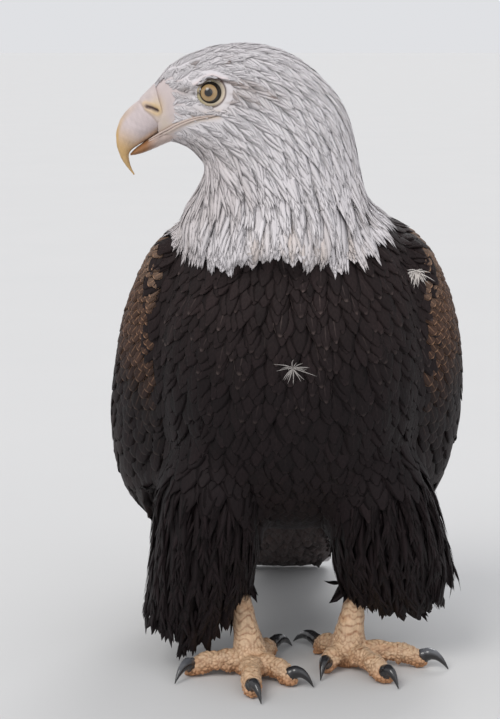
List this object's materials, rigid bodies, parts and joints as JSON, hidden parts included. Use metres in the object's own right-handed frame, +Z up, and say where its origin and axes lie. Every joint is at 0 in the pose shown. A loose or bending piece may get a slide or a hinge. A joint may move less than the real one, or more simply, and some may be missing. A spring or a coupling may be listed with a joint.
{
  "type": "bald eagle",
  "caption": "Life-size still bald eagle standing with folded wings, head turned to its right, feathered thighs and taloned feet.",
  "frame": {"origin": "on the floor, below the middle of the bird's box; the feet stand in front of it and the tail's tip rests behind it", "axes": "+Z up, -Y the way the breast faces, -X the bird's own right side, which is also where the bill points"},
  "size_m": [0.2981, 0.4117, 0.5186],
  "materials": {
    "white_feather": "matte",
    "dark_feather": "matte",
    "bill_horn": "satin",
    "eye": "gloss",
    "scaly_skin": "satin",
    "claw_horn": "gloss"
  },
  "bodies": {
    "root": {"head": "white_feather", "neck": "white_feather", "tail": "white_feather", "trunk": "dark_feather", "wing_left": "dark_feather", "wing_right": "dark_feather", "thigh_left": "dark_feather", "thigh_right": "dark_feather", "bill_upper": "bill_horn", "bill_lower": "bill_horn", "eye_left": "eye", "eye_right": "eye", "shank_left": "scaly_skin", "shank_right": "scaly_skin", "toe_left_1": "scaly_skin", "toe_left_2": "scaly_skin", "toe_left_3": "scaly_skin", "toe_left_4": "scaly_skin", "toe_right_1": "scaly_skin", "toe_right_2": "scaly_skin", "toe_right_3": "scaly_skin", "toe_right_4": "scaly_skin", "claw_left_1": "claw_horn", "claw_left_2": "claw_horn", "claw_left_3": "claw_horn", "claw_left_4": "claw_horn", "claw_right_1": "claw_horn", "claw_right_2": "claw_horn", "claw_right_3": "claw_horn", "claw_right_4": "claw_horn"}
  },
  "joints": []
}
